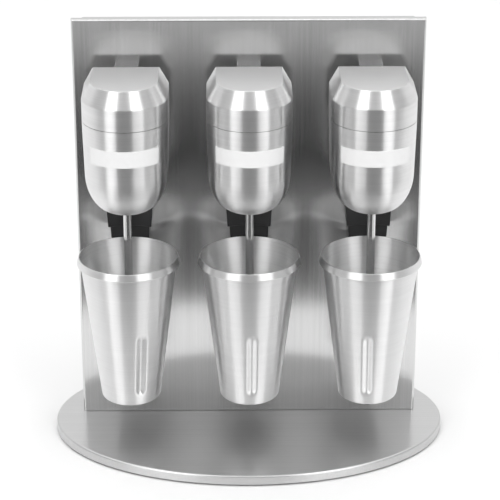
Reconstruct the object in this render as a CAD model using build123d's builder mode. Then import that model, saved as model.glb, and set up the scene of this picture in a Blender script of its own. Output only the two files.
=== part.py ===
from build123d import *
import os
from math import cos, sin, radians, degrees, atan2, sqrt

os.makedirs("parts", exist_ok=True)

# A three-head milkshake mixer that stands on a bar top, in millimetres. The origin is on the
# surface that it stands on, under the middle of the base. The drinks side faces -Y, +Z is up.

# stand
base_length = 393.0         # oval base, left to right
base_depth = 263.0          # oval base, front to back
base_skirt = 9.0            # height of the base pan's turned-down edge
base_sheet = 1.2
base_edge_radius = 2.0
foot_clearance = 2.0        # the pan's edge stays this far above the bar top
ballast_thickness = 6.0
ballast_margin = 3.5        # ballast plate to the inside of the pan's edge
foot_diameter = 24.0
foot_spacing_x = 268.0
foot_spacing_y = 140.0
foot_spigot = 6.0           # the foot's push-in spigot, across
foot_spigot_length = 3.0
foot_edge_radius = 1.0

# column
panel_width = 340.0
panel_height = 418.0
panel_sheet = 1.2
panel_flange = 7.0          # depth of the folded edge
panel_fold_radius = 2.5
panel_front_y = 8.5         # front face of the panel
relief_radius = 1.1         # bend relief at the two top corners
column_depth = 36.0         # panel face to the back of the rear cover
cover_inset = 9.0           # rear cover's box to the panel's side edge
cover_drop = 7.0            # rear cover's box below the panel's top edge
cover_sheet = 1.0
cover_clearance = 1.5       # rear cover's flange inside the folded edge
cover_corner = 3.0

# heads
head_pitch = 117.0          # from one spindle to the next
spindle_reach = 62.0        # panel face to the spindle's axis
head_radius = 40.6          # at the seam
head_radius_low = 39.3      # where the bottom starts to round
head_wall = 1.6
neck_length = 19.7          # panel face to the head's back
head_height = 128.2
chamfer_depth = 8.9         # sloped shoulder, measured inwards
chamfer_height = 15.8
shoulder_share = 0.6        # how far the inside shoulder shifts for each mm of wall
seam_drop = 37.0            # head's top to the seam
taper_drop = 42.0           # head's top to where the sides start to draw in
rounding_height = 38.2      # height of the rounded bottom
bottom_flat_radius = 13.5
head_top_gap = 41.0         # panel's top edge to the head's top
seam_groove = 0.5
lip_height = 4.0            # housing's lip inside the cap
lip_thickness = 1.0
lip_clearance = 0.15
neck_width = 23.0
neck_height = 60.0
neck_edge_radius = 1.6
duct_diameter = 10.0        # wires' way through the neck
label_drop_top = 56.0       # head's top to the label's upper edge
label_height = 16.2
label_half_angle = 52.0
label_thickness = 0.4

# drive
spindle_diameter = 8.0
shaft_diameter = 6.0
running_clearance = 0.05    # radial, in bushes and bearings
coupling_diameter = 13.0
coupling_height = 12.0
coupling_grip = 9.0         # the motor shaft's length inside the coupling
bush_diameter = 14.0
bush_length = 8.0
bearing_diameter = 16.0
bearing_width = 5.0
bearing_wall = 2.0          # bracket's ring round the bearing
bearing_gap = 3.0           # bracket to the coupling below and to the windings above
lower_bracket_rise = 26.0   # head's bottom to the motor's lower bracket
motor_length = 80.0         # between the two brackets' outer faces
bracket_plate = 3.0
bracket_radius = 34.5
boss_diameter = 8.0
boss_circle_radius = 24.0
cooling_hole_diameter = 12.0
pillar_diameter = 5.0
pillar_radius = 31.0
pillar_seat = 1.0           # metal round a pillar
stator_diameter = 54.0
stator_length = 38.0
coil_overhang = 6.0
coil_outer_inset = 2.0
coil_inner_inset = 1.0
ear_height = 10.0           # stator's ears round the pillars
air_gap = 0.6
armature_diameter = 30.0
winding_inset = 2.5
shaft_overhang = 3.0        # shaft's end above the upper bearing
commutator_diameter = 18.0
commutator_length = 9.0
commutator_gap = 4.0        # to the upper bracket
brush_size = 5.0
brush_rise = 2.0            # commutator's lower end to the brushes
brush_gap = 0.3             # worn-in brush to the commutator
fan_diameter = 48.0
fan_height = 6.0
fan_blades = 8
fan_plate = 1.0
fan_hub_wall = 2.5
fan_blade_length = 17.0
fan_blade_shift = 1.5       # blade's middle, beyond half of the fan's radius
fan_blade_thickness = 1.2
fan_blade_turn = 18.0
agitator_diameter = 28.0
agitator_thickness = 3.0
agitator_rise = 20.0        # cup's floor to the agitator
agitator_lobes = 6
lobe_radius = 4.0
agitator_hub_wall = 2.0
agitator_hub_rise = 4.0     # hub's top above the disc
tip_radius = 0.8            # spindle's lower end

# cup
cup_height = 148.8
cup_rim_radius = 50.0
cup_mouth_radius = 46.5     # outside, just under the bead
cup_floor_radius = 28.7     # outside
cup_wall = 0.8
bead_height = 7.5
bead_round = 1.8
bead_top_round = 2.4
lip_roll = 2.2              # height of the inward-facing round at the rim
lip_flare = 1.1
lip_bulge = 0.35            # height of the lip's arc
bead_arc = 0.29             # height of the bead's arcs, for each mm of their radius
cup_corner = 4.0
cup_floor_z = 62.5
flute_count = 3
flute_low = 11.0            # cup's bottom to the flute's lower end
flute_length = 69.0
flute_tool_radius = 8.0
flute_depth = 2.6
flute_turn = {"left": 20.0, "middle": 3.0, "right": -5.0}

# cup holder and its slider
holder_top_width = 45.3
holder_low_width = 42.4
holder_height = 24.0
holder_wall = 1.6
holder_cap = 8.0
holder_edge_radius = 1.5
holder_front_radius = 45.0  # concave front, measured from the spindle's axis
holder_front_share = 0.5    # how far the raw block reaches into that radius
holder_rise = 12.7          # cup's rim to the holder's lower edge
slider_width = 38.4
slider_foot_width = 35.5
slider_clearance = 0.4
slider_travel = 5.0
slide_clearance = 0.3       # slider to the panel, finger to the switch
hook_clearance = 1.0        # above the rim
bead_clearance = 0.4        # behind and below the bead
toe_thickness = 4.5
finger_width = 6.0
finger_height = 4.0
finger_length = 5.0         # past the panel's back
finger_root = 1.0           # inside the slider
finger_rise = 1.0           # holder's lower edge to the finger
slot_margin = 1.0

# cup rest
rest_width = 34.0
rest_sheet = 2.5
rest_plate_height = 26.0
rest_screw_share = 0.62     # screws' drop, as a share of the plate's height
rest_corner = 4.0
rest_tip_flat = 4.0         # straight part of the rest's front edge
rest_reach = 3.0            # past the spindle's axis
rest_clearance = 0.3

# fasteners, electrics
screw_diameter = 4.0
screw_head_diameter = 7.6
screw_head_height = 2.6
screw_head_round = 1.0
screw_length = 6.0
neck_screw_x = 7.0
neck_screw_z = 21.0
holder_screw_x = 13.0
rest_screw_x = 9.0
base_screw_diameter = 5.0
base_screw_head = 9.0
base_screw_head_height = 3.0
hex_recess_share = 0.6      # recess depth, as a share of the head's height
bracket_spacing = 200.0
bracket_width = 44.0
bracket_leg = 25.0
bracket_thickness = 3.0
bracket_screw_x = 12.0
stud_diameter = 4.0
stud_length = 6.0
nut_across_flats = 7.0
nut_height = 3.2
nut_rows = 4
stud_end_gap = 30.0         # panel's ends to the first and last stud
switch_width = 16.0
switch_height = 10.0
switch_depth = 6.4
switch_hole_share = 0.6     # distance of its holes, as a share of its width
switch_hole_diameter = 2.4
tab_width = 0.8
tab_depth = 3.0
tab_length = 4.0
tab_count = 3
rocker_x = 110.0
rocker_z = 62.0
rocker_width = 21.0
rocker_height = 28.0
rocker_depth = 16.0
rocker_bezel = 1.8
rocker_lip = 2.0            # wall of the rocker's frame
rocker_sink = 4.0           # cover's face to the rocker's pivot
rocker_gap = 0.4
rocker_tilt = 8.0
rocker_rim = 2.0            # bezel past the opening, all round
rocker_corner = 1.5
rocker_floor = 3.0
rocker_end_gap = 0.8
rocker_top_gap = 0.2
rocker_dish = 1.2
rocker_waist = 1.0
rocker_taper = 1.4
rocker_keel = 3.0
rocker_keel_share = 0.35
gland_x = -110.0
gland_z = 40.0
gland_diameter = 16.0
gland_flange = 22.0
gland_bore = 8.0
gland_flange_height = 3.0
gland_edge_radius = 1.2
gland_tail = 8.0            # inside the rear cover
terminal_width = 54.0
terminal_height = 22.0
terminal_depth = 14.0
terminal_z = 86.0
terminal_poles = 6
terminal_hole_diameter = 4.4
terminal_hole_depth = 5.0
terminal_bevel = 3.0
wire_diameter = 5.0
wire_bend = 9.0
wire_rise = 4.0             # past the middle of the terminal block's depth
wire_entry = 2.0            # into the head
wire_turn = 34.0            # terminal block's top to the inner wire's bend
wire_turn_share = 0.35      # how much higher a wire bends for each mm to the side
wire_drop = 16.0            # straight part above the terminal block

# places that follow from the sizes above
heads = {"left": -head_pitch, "middle": 0.0, "right": head_pitch}
base_top = foot_clearance + base_skirt
sheet_under = base_top - base_sheet
ballast_under = sheet_under - ballast_thickness
panel_top = base_top + panel_height
panel_back_y = panel_front_y + panel_sheet
column_back_y = panel_front_y + column_depth
axis_y = panel_front_y - spindle_reach
head_back_y = panel_front_y - neck_length
head_top = panel_top - head_top_gap
head_low = head_top - head_height
seam_z = head_top - seam_drop
neck_mid_z = head_top - neck_height / 2
rim_z = cup_floor_z + cup_height
bead_low_z = rim_z - bead_height
holder_low_z = rim_z + holder_rise
holder_top_z = holder_low_z + holder_height
finger_low_z = holder_low_z + finger_rise
rest_top_z = cup_floor_z - rest_clearance
holder_screw_z = holder_top_z - holder_cap / 2
rest_screw_z = rest_top_z - rest_plate_height * rest_screw_share
agitator_z = cup_floor_z + cup_wall + agitator_rise
lower_bracket_z = head_low + lower_bracket_rise
upper_bracket_z = lower_bracket_z + motor_length - bracket_plate
core_z = lower_bracket_z + bearing_width + fan_height + coil_overhang + bearing_gap
coupling_z = lower_bracket_z - coupling_height - bearing_gap
shaft_low_z = coupling_z + coupling_height - coupling_grip
cup_lean = degrees(atan2(cup_mouth_radius - cup_floor_radius, bead_low_z - cup_floor_z))


def save(piece, name):
    piece.label = name
    export_step(piece, f"parts/{name}.step")


def upright(x, y=axis_y):
    """Plane that faces the drinks side, with its own x to the right and y up."""
    return Plane(origin=(x, y, 0), x_dir=(1, 0, 0), z_dir=(0, -1, 0))


def facing_back(x, y, z):
    """Plane on the column that looks to the rear."""
    return Plane(origin=(x, y, z), x_dir=(-1, 0, 0), z_dir=(0, 1, 0))


def upright_axis(x):
    return Axis((x, axis_y, 0), (0, 0, 1))


def wall_radius(z):
    """The head's outside radius at a height between the taper's start and the rounding."""
    taper_z = head_top - taper_drop
    round_z = head_low + rounding_height
    share = (taper_z - z) / (taper_z - round_z)
    return head_radius - (head_radius - head_radius_low) * share


def head_outline(x, inset):
    """Half of the head's front outline, closed on the spindle's axis."""
    round_z = head_low + rounding_height
    top_z = head_top - inset
    shoulder = inset * shoulder_share
    with BuildSketch(upright(x)) as outline:
        with BuildLine():
            Polyline(
                (0, head_low + inset),
                (0, top_z),
                (head_radius - chamfer_depth - shoulder, top_z),
                (head_radius - inset, head_top - chamfer_height - shoulder),
                (head_radius - inset, head_top - taper_drop),
                (head_radius_low - inset, round_z),
            )
            EllipticalCenterArc(
                (bottom_flat_radius, round_z),
                head_radius_low - inset - bottom_flat_radius,
                rounding_height - inset,
                start_angle=270,
                arc_size=90,
            )
            Line((bottom_flat_radius, head_low + inset), (0, head_low + inset))
        make_face()
    return outline.sketch


def head_form(x, inset):
    """The head's solid shape, drawn in by inset all round: round in front, flat at the back."""
    half = head_outline(x, inset)
    other_half = half.mirror(Plane.YZ.offset(x))
    straight = head_back_y - axis_y - inset
    with BuildPart() as form:
        extrude(half, amount=-straight)
        extrude(other_half, amount=straight)
        revolve(half, axis=upright_axis(x))
    return form.part


def screw_places():
    """Where the bracket screws go through the panel, as pairs of x and z."""
    places = []
    for x in heads.values():
        for side in (-1, 1):
            places.append((x + side * neck_screw_x, neck_mid_z - neck_screw_z))
            places.append((x + side * neck_screw_x, neck_mid_z + neck_screw_z))
            places.append((x + side * holder_screw_x, holder_screw_z))
            places.append((x + side * rest_screw_x, rest_screw_z))
    return places


def stud_places():
    """Weld studs along the panel's two sides and its top, as pairs of x and z."""
    side_x = panel_width / 2 - (cover_inset + panel_sheet) / 2
    step = (panel_height - 2 * stud_end_gap) / (nut_rows - 1)
    places = []
    for row in range(nut_rows):
        for side in (-1, 1):
            places.append((side * side_x, base_top + stud_end_gap + row * step))
    return places


def base_screw_places():
    spots = []
    for side in (-1, 1):
        for end in (-1, 1):
            spots.append((side * bracket_spacing / 2 + end * bracket_screw_x, panel_back_y + bracket_leg / 2))
    return spots


# stand
with BuildPart() as base_cover:
    with BuildSketch(Plane.XY.offset(foot_clearance)):
        Ellipse(base_length / 2, base_depth / 2)
    extrude(amount=base_skirt)
    fillet(base_cover.faces().sort_by(Axis.Z)[-1].edges(), base_edge_radius)
    offset(amount=-base_sheet, openings=base_cover.faces().sort_by(Axis.Z)[0])
    with BuildSketch(Plane.XY.offset(sheet_under - base_sheet)):
        with Locations(*base_screw_places()):
            Circle(base_screw_diameter / 2)
    extrude(amount=3 * base_sheet, mode=Mode.SUBTRACT)
save(base_cover.part, "base_cover")

foot_places = GridLocations(foot_spacing_x, foot_spacing_y, 2, 2)

with BuildPart() as ballast_plate:
    with BuildSketch(Plane.XY.offset(ballast_under)):
        Ellipse(
            base_length / 2 - base_sheet - ballast_margin,
            base_depth / 2 - base_sheet - ballast_margin,
        )
        with foot_places:
            Circle(foot_spigot / 2, mode=Mode.SUBTRACT)
    extrude(amount=ballast_thickness)
    with BuildSketch(Plane.XY.offset(ballast_under)):
        with Locations(*base_screw_places()):
            Circle(base_screw_diameter / 2)
    extrude(amount=ballast_thickness, mode=Mode.SUBTRACT)
    with BuildSketch(Plane.XY.offset(ballast_under)):
        with Locations(*base_screw_places()):
            Circle(base_screw_head / 2)
    extrude(amount=base_screw_head_height, mode=Mode.SUBTRACT)
save(ballast_plate.part, "ballast_plate")

with BuildPart() as base_feet:
    with BuildSketch():
        with foot_places:
            Circle(foot_diameter / 2)
    extrude(amount=ballast_under)
    fillet(base_feet.faces().filter_by(Axis.Z).group_by(Axis.Z)[0].edges(), foot_edge_radius)
    with BuildSketch(Plane.XY.offset(ballast_under)):
        with foot_places:
            Circle(foot_spigot / 2)
    extrude(amount=foot_spigot_length)
save(base_feet.part, "base_feet")

recess = base_screw_head_height * hex_recess_share
with BuildPart() as base_screws:
    with BuildSketch(Plane.XY.offset(ballast_under)):
        with Locations(*base_screw_places()):
            Circle(base_screw_head / 2)
            RegularPolygon(base_screw_diameter / 2, 6, mode=Mode.SUBTRACT)
    extrude(amount=recess)
    with BuildSketch(Plane.XY.offset(ballast_under + recess)):
        with Locations(*base_screw_places()):
            Circle(base_screw_head / 2)
    extrude(amount=base_screw_head_height - recess)
    with BuildSketch(Plane.XY.offset(ballast_under + base_screw_head_height)):
        with Locations(*base_screw_places()):
            Circle(base_screw_diameter / 2)
    extrude(amount=base_top + bracket_thickness - ballast_under - base_screw_head_height)
save(base_screws.part, "base_screws")

with BuildPart() as foot_brackets:
    for side in (-1, 1):
        with BuildSketch(Plane.YZ.offset(side * bracket_spacing / 2)):
            with BuildLine():
                Polyline(
                    (panel_back_y, base_top),
                    (panel_back_y + bracket_leg, base_top),
                    (panel_back_y + bracket_leg, base_top + bracket_thickness),
                    (panel_back_y + bracket_thickness, base_top + bracket_thickness),
                    (panel_back_y + bracket_thickness, base_top + bracket_leg),
                    (panel_back_y, base_top + bracket_leg),
                    close=True,
                )
            make_face()
        extrude(amount=bracket_width / 2, both=True)
    with BuildSketch(Plane.XY.offset(base_top)):
        with Locations(*base_screw_places()):
            Circle(base_screw_diameter / 2)
    extrude(amount=bracket_thickness, mode=Mode.SUBTRACT)
save(foot_brackets.part, "foot_brackets")

# column
with BuildPart() as front_panel:
    with BuildSketch(upright(0, panel_front_y)):
        with Locations((0, base_top + panel_height / 2)):
            Rectangle(panel_width, panel_height)
    extrude(amount=-panel_flange)
    front_edges = front_panel.faces().sort_by(Axis.Y)[0].edges()
    fillet(front_edges.sort_by(Axis.Z)[1:], panel_fold_radius)
    openings = [front_panel.faces().sort_by(Axis.Y)[-1], front_panel.faces().sort_by(Axis.Z)[0]]
    offset(amount=-panel_sheet, openings=openings)
    with BuildSketch(upright(0, panel_front_y)):
        with Locations(*screw_places()):
            Circle(screw_diameter / 2)
        for x in heads.values():
            with Locations((x, neck_mid_z)):
                Circle(duct_diameter / 2)
            with Locations((x, finger_low_z + (finger_height + slider_travel) / 2)):
                Rectangle(finger_width + 2 * slot_margin, finger_height + slider_travel + 2 * slot_margin)
        for side in (-1, 1):
            with Locations((side * (panel_width / 2 - panel_fold_radius), panel_top - panel_fold_radius)):
                Circle(relief_radius)
    extrude(amount=-panel_sheet * 3, both=True, mode=Mode.SUBTRACT)
    with BuildSketch(upright(0, panel_back_y)):
        with Locations(*stud_places()):
            Circle(stud_diameter / 2)
    extrude(amount=-stud_length)
save(front_panel.part, "front_panel")

cover_half = panel_width / 2 - cover_inset
cover_top = panel_top - cover_drop
cover_deep = column_back_y - panel_back_y

with BuildPart() as rear_cover:
    with BuildSketch(upright(0, panel_back_y)):
        with Locations((0, (base_top + cover_top) / 2)):
            Rectangle(2 * cover_half, cover_top - base_top)
    extrude(amount=-cover_deep)
    fillet(rear_cover.faces().sort_by(Axis.Y)[-1].edges().sort_by(Axis.Z)[1:], cover_corner)
    openings = [rear_cover.faces().sort_by(Axis.Y)[0], rear_cover.faces().sort_by(Axis.Z)[0]]
    offset(amount=-cover_sheet, openings=openings)
    flange_half = panel_width / 2 - panel_sheet - cover_clearance
    flange_top = panel_top - panel_sheet - cover_clearance
    with BuildSketch(upright(0, panel_back_y)):
        with Locations((0, (base_top + flange_top) / 2)):
            Rectangle(2 * flange_half, flange_top - base_top)
        with Locations((0, (base_top + cover_top - cover_sheet) / 2)):
            Rectangle(2 * (cover_half - cover_sheet), cover_top - cover_sheet - base_top, mode=Mode.SUBTRACT)
        with Locations(*stud_places()):
            Circle(stud_diameter / 2, mode=Mode.SUBTRACT)
    extrude(amount=-cover_sheet)
    with BuildSketch(facing_back(0, column_back_y, 0)):
        with Locations((-rocker_x, rocker_z)):
            Rectangle(rocker_width, rocker_height)
        with Locations((-gland_x, gland_z)):
            Circle(gland_diameter / 2)
    extrude(amount=-cover_sheet * 2, both=True, mode=Mode.SUBTRACT)
save(rear_cover.part, "rear_cover")

with BuildPart() as cover_nuts:
    with BuildSketch(upright(0, panel_back_y + cover_sheet)):
        with Locations(*stud_places()):
            RegularPolygon(nut_across_flats / 2, 6, major_radius=False, rotation=30)
            Circle(stud_diameter / 2, mode=Mode.SUBTRACT)
    extrude(amount=-nut_height)
save(cover_nuts.part, "cover_nuts")

with BuildPart() as bracket_screws:
    with BuildSketch(upright(0, panel_back_y)):
        with Locations(*screw_places()):
            Circle(screw_head_diameter / 2)
    extrude(amount=-screw_head_height)
    heads_back = bracket_screws.faces().filter_by(Axis.Y).group_by(Axis.Y)[-1]
    fillet(heads_back.edges(), screw_head_round)
    with BuildSketch(upright(0, panel_back_y)):
        with Locations(*screw_places()):
            Circle(screw_diameter / 2)
    extrude(amount=screw_length)
save(bracket_screws.part, "bracket_screws")

# electrics in the column
with BuildPart() as cord_gland:
    with BuildSketch(facing_back(gland_x, column_back_y, gland_z)):
        Circle(gland_flange / 2)
        Circle(gland_bore / 2, mode=Mode.SUBTRACT)
    extrude(amount=gland_flange_height)
    fillet(cord_gland.faces().sort_by(Axis.Y)[-1].edges().sort_by(SortBy.RADIUS)[-1], gland_edge_radius)
    with BuildSketch(facing_back(gland_x, column_back_y, gland_z)):
        Circle(gland_diameter / 2)
        Circle(gland_bore / 2, mode=Mode.SUBTRACT)
    extrude(amount=-gland_tail)
save(cord_gland.part, "cord_gland")

with BuildPart() as rocker_frame:
    with BuildSketch(facing_back(rocker_x, column_back_y, rocker_z)):
        Rectangle(rocker_width + 2 * rocker_rim, rocker_height + 2 * rocker_rim)
    extrude(amount=rocker_bezel)
    fillet(rocker_frame.edges().filter_by(Axis.Y), rocker_corner)
    with BuildSketch(facing_back(rocker_x, column_back_y, rocker_z)):
        Rectangle(rocker_width, rocker_height)
    extrude(amount=-rocker_depth)
    with BuildSketch(facing_back(rocker_x, column_back_y + rocker_bezel, rocker_z)):
        Rectangle(rocker_width - 2 * rocker_lip, rocker_height - 2 * rocker_lip)
    extrude(amount=-rocker_depth + rocker_floor, mode=Mode.SUBTRACT)
save(rocker_frame.part, "rocker_frame")

rocker_pivot_y = column_back_y - rocker_sink
rocker_half = rocker_height / 2 - rocker_lip - rocker_gap
rocker_top = rocker_sink + rocker_bezel - rocker_top_gap
tilt = radians(rocker_tilt)
rocker_plane = Plane(
    origin=(rocker_x, rocker_pivot_y, rocker_z),
    x_dir=(0, -sin(tilt), cos(tilt)),
    z_dir=(-1, 0, 0),
)

with BuildPart() as power_rocker:
    with BuildSketch(rocker_plane):
        with BuildLine():
            Polyline(
                (-rocker_half + rocker_end_gap, rocker_top),
                (0, rocker_top - rocker_dish),
                (rocker_half - rocker_end_gap, rocker_top),
                (rocker_half - rocker_taper, rocker_waist),
                (rocker_half * rocker_keel_share, -rocker_keel),
                (-rocker_half * rocker_keel_share, -rocker_keel),
                (-rocker_half + rocker_taper, rocker_waist),
                close=True,
            )
        make_face()
    extrude(amount=rocker_width / 2 - rocker_lip - rocker_gap, both=True)
save(power_rocker.part, "power_rocker")

with BuildPart() as terminal_block:
    with BuildSketch(upright(0, panel_back_y)):
        with Locations((0, terminal_z)):
            Rectangle(terminal_width, terminal_height)
    extrude(amount=-terminal_depth)
    chamfer(terminal_block.faces().sort_by(Axis.Y)[-1].edges().filter_by(Axis.X), terminal_bevel)
    with BuildSketch(facing_back(0, panel_back_y + terminal_depth, terminal_z)):
        with GridLocations(terminal_width / terminal_poles, terminal_height, terminal_poles, 1):
            Circle(terminal_hole_diameter / 2)
    extrude(amount=-terminal_hole_depth, mode=Mode.SUBTRACT)
save(terminal_block.part, "terminal_block")

wire_y = panel_back_y + terminal_depth / 2 + wire_rise
with BuildPart() as wiring_loom:
    for number, x in enumerate(heads.values()):
        end_x = (number - 1) * terminal_width / 3
        top_z = terminal_z + terminal_height / 2
        turn_z = top_z + wire_turn + abs(x) * wire_turn_share
        stops = [(x, head_back_y - wire_entry, neck_mid_z), (x, wire_y, neck_mid_z)]
        if abs(x - end_x) > wire_bend:
            stops.append((x, wire_y, turn_z))
            stops.append((end_x, wire_y, top_z + wire_drop))
        stops.append((end_x, wire_y, top_z))
        with BuildLine() as route:
            FilletPolyline(*stops, radius=wire_bend)
        with BuildSketch(Plane(origin=stops[0], z_dir=(0, 1, 0))):
            Circle(wire_diameter / 2)
        sweep(path=route.line)
save(wiring_loom.part, "wiring_loom")

# trim and bearings, three or six alike
with BuildPart() as head_labels:
    for x in heads.values():
        high = head_top - label_drop_top
        low = high - label_height
        start = Plane(
            origin=(x, axis_y, 0),
            x_dir=(sin(radians(-label_half_angle)), -cos(radians(label_half_angle)), 0),
            z_dir=(-cos(radians(label_half_angle)), sin(radians(label_half_angle)), 0),
        )
        with BuildSketch(start):
            with BuildLine():
                Polyline(
                    (wall_radius(low), low),
                    (wall_radius(low) + label_thickness, low),
                    (wall_radius(high) + label_thickness, high),
                    (wall_radius(high), high),
                    close=True,
                )
            make_face()
        revolve(axis=upright_axis(x), revolution_arc=2 * label_half_angle)
save(head_labels.part, "head_labels")

head_places = [(x, axis_y) for x in heads.values()]

with BuildPart() as spindle_bushes:
    with BuildSketch(Plane.XY.offset(head_low)):
        with Locations(*head_places):
            Circle(bush_diameter / 2)
            Circle(spindle_diameter / 2 + running_clearance, mode=Mode.SUBTRACT)
    extrude(amount=bush_length)
save(spindle_bushes.part, "spindle_bushes")

with BuildPart() as motor_bearings:
    for z in (lower_bracket_z, upper_bracket_z):
        with BuildSketch(Plane.XY.offset(z)):
            with Locations(*head_places):
                Circle(bearing_diameter / 2)
                Circle(shaft_diameter / 2 + running_clearance, mode=Mode.SUBTRACT)
        extrude(amount=bearing_width)
save(motor_bearings.part, "motor_bearings")

commutator_z = upper_bracket_z - commutator_length - commutator_gap
with BuildPart() as motor_brushes:
    for side in (-1, 1):
        reach = pillar_radius - pillar_diameter / 2 - commutator_diameter / 2 - brush_gap
        middle = side * (commutator_diameter / 2 + brush_gap + reach / 2)
        with BuildSketch(Plane.XY.offset(commutator_z + brush_rise)):
            with Locations(*[(x + middle, y) for x, y in head_places]):
                Rectangle(reach, brush_size)
        extrude(amount=brush_size)
save(motor_brushes.part, "motor_brushes")

# one set of pieces for each head
def head_ring(x, outer, inner, low, high):
    """A band of the head's wall between two insets and two heights."""
    with BuildPart() as ring:
        add(head_form(x, outer))
        add(head_form(x, inner), mode=Mode.SUBTRACT)
        split(bisect_by=Plane.XY.offset(low), keep=Keep.TOP)
        split(bisect_by=Plane.XY.offset(high), keep=Keep.BOTTOM)
    return ring.part


def make_head(side, x):
    outer = head_form(x, 0)
    inner = head_form(x, head_wall)
    duct = upright(x, head_back_y)
    with BuildPart() as head_cap:
        add(outer)
        add(inner, mode=Mode.SUBTRACT)
        split(bisect_by=Plane.XY.offset(seam_z + seam_groove / 2), keep=Keep.TOP)
        with BuildSketch(duct):
            with Locations((0, neck_mid_z)):
                Circle(duct_diameter / 2)
        extrude(amount=2 * head_wall, both=True, mode=Mode.SUBTRACT)
    save(head_cap.part, f"head_cap_{side}")

    with BuildPart() as bosses:
        with BuildSketch(Plane.XY.offset(head_low)):
            with Locations((x, axis_y)):
                with PolarLocations(boss_circle_radius, 3, start_angle=90):
                    Circle(boss_diameter / 2)
        extrude(amount=lower_bracket_rise)
        add(outer, mode=Mode.INTERSECT)

    lip_outer = head_wall + lip_clearance
    lip_inner = lip_outer + lip_thickness
    with BuildPart() as head_housing:
        add(outer)
        add(inner, mode=Mode.SUBTRACT)
        split(bisect_by=Plane.XY.offset(seam_z - seam_groove / 2), keep=Keep.BOTTOM)
        add(head_ring(x, head_wall / 2, lip_inner, seam_z - lip_height, seam_z - seam_groove))
        add(head_ring(x, lip_outer, lip_inner, seam_z - lip_height, seam_z + lip_height))
        add(bosses.part)
        with BuildSketch(Plane.XY.offset(head_low)):
            with Locations((x, axis_y)):
                Circle(bush_diameter / 2)
        extrude(amount=bush_length, mode=Mode.SUBTRACT)
        with BuildSketch(duct):
            with Locations((0, neck_mid_z)):
                Circle(duct_diameter / 2)
        extrude(amount=2 * lip_inner, both=True, mode=Mode.SUBTRACT)
    save(head_housing.part, f"head_housing_{side}")

    with BuildPart() as head_neck:
        with BuildSketch(duct):
            with Locations((0, neck_mid_z)):
                Rectangle(neck_width, neck_height)
        extrude(amount=-neck_length)
        fillet(head_neck.edges().filter_by(Axis.Y), neck_edge_radius)
        with BuildSketch(duct):
            with Locations((0, neck_mid_z)):
                Circle(duct_diameter / 2)
        extrude(amount=-neck_length, mode=Mode.SUBTRACT)
        with BuildSketch(upright(x, panel_front_y)):
            with Locations((0, neck_mid_z)):
                with GridLocations(2 * neck_screw_x, 2 * neck_screw_z, 2, 2):
                    Circle(screw_diameter / 2)
        extrude(amount=screw_length - panel_sheet, mode=Mode.SUBTRACT)
    save(head_neck.part, f"head_neck_{side}")


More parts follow.
